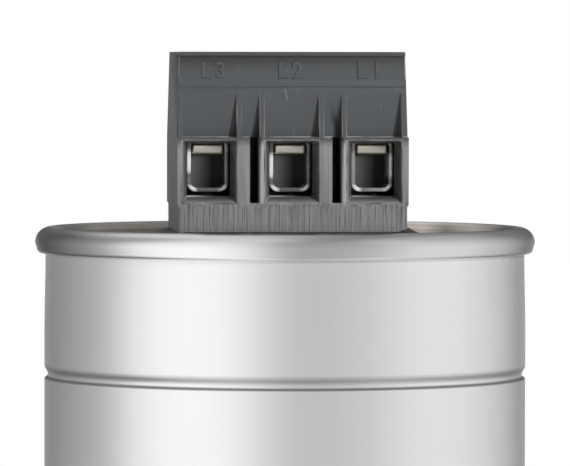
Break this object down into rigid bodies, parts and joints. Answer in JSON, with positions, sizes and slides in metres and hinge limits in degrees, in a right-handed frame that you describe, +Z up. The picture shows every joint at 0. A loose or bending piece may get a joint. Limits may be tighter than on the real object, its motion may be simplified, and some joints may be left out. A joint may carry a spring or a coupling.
{
  "type": "power factor correction capacitor",
  "caption": "Round aluminium capacitor can with a folded seam, a bead groove, a base stud, and a grey terminal block whose screws lift cage clamps onto fixed bars.",
  "frame": {"origin": "centre of the can's base, where the fixing stud leaves it", "axes": "+Z up along the can's axis towards the terminal block, wire entries facing -Y, +X to the right seen from the wire entries"},
  "size_m": [0.0885, 0.0884, 0.2469],
  "materials": {
    "can_aluminium": "satin drawn",
    "lid_aluminium": "satin pressed",
    "housing_plastic": "moulded",
    "gasket_rubber": "matt",
    "bar_metal": "dull tinned",
    "cage_steel": "zinc plated",
    "screw_steel": "zinc plated",
    "bush_plastic": "moulded"
  },
  "bodies": {
    "capacitor": {"can": "can_aluminium", "lid": "lid_aluminium", "base_gasket": "gasket_rubber", "terminal_housing": "housing_plastic", "current_bar_l1": "bar_metal", "current_bar_l2": "bar_metal", "current_bar_l3": "bar_metal", "feedthrough_bush_l1": "bush_plastic", "feedthrough_bush_l2": "bush_plastic", "feedthrough_bush_l3": "bush_plastic"},
    "screw_l1": {"clamp_screw_l1": "screw_steel"},
    "cage_l1": {"clamp_cage_l1": "cage_steel"},
    "screw_l2": {"clamp_screw_l2": "screw_steel"},
    "cage_l2": {"clamp_cage_l2": "cage_steel"},
    "screw_l3": {"clamp_screw_l3": "screw_steel"},
    "cage_l3": {"clamp_cage_l3": "cage_steel"}
  },
  "joints": [
    {"name": "screw_turn_l1", "type": "hinge", "parent": "capacitor", "child": "screw_l1", "pos_m": [0.01415, -0.0092, 0.22445], "axis": [0, 0, -1], "range_deg": [0, 2250]},
    {"name": "cage_lift_l1", "type": "slide", "parent": "capacitor", "child": "cage_l1", "axis": [0, 0, 1], "range_m": [0, 0.005]},
    {"name": "screw_turn_l2", "type": "hinge", "parent": "capacitor", "child": "screw_l2", "pos_m": [-0.00025, -0.0092, 0.22445], "axis": [0, 0, -1], "range_deg": [0, 2250]},
    {"name": "cage_lift_l2", "type": "slide", "parent": "capacitor", "child": "cage_l2", "axis": [0, 0, 1], "range_m": [0, 0.005]},
    {"name": "screw_turn_l3", "type": "hinge", "parent": "capacitor", "child": "screw_l3", "pos_m": [-0.01465, -0.0092, 0.22445], "axis": [0, 0, -1], "range_deg": [0, 2250]},
    {"name": "cage_lift_l3", "type": "slide", "parent": "capacitor", "child": "cage_l3", "axis": [0, 0, 1], "range_m": [0, 0.005]}
  ],
  "couplings": [
    {"joint": "screw_turn_l1", "follows": "cage_lift_l1", "rad_per_m": 7854},
    {"joint": "screw_turn_l2", "follows": "cage_lift_l2", "rad_per_m": 7854},
    {"joint": "screw_turn_l3", "follows": "cage_lift_l3", "rad_per_m": 7854}
  ]
}
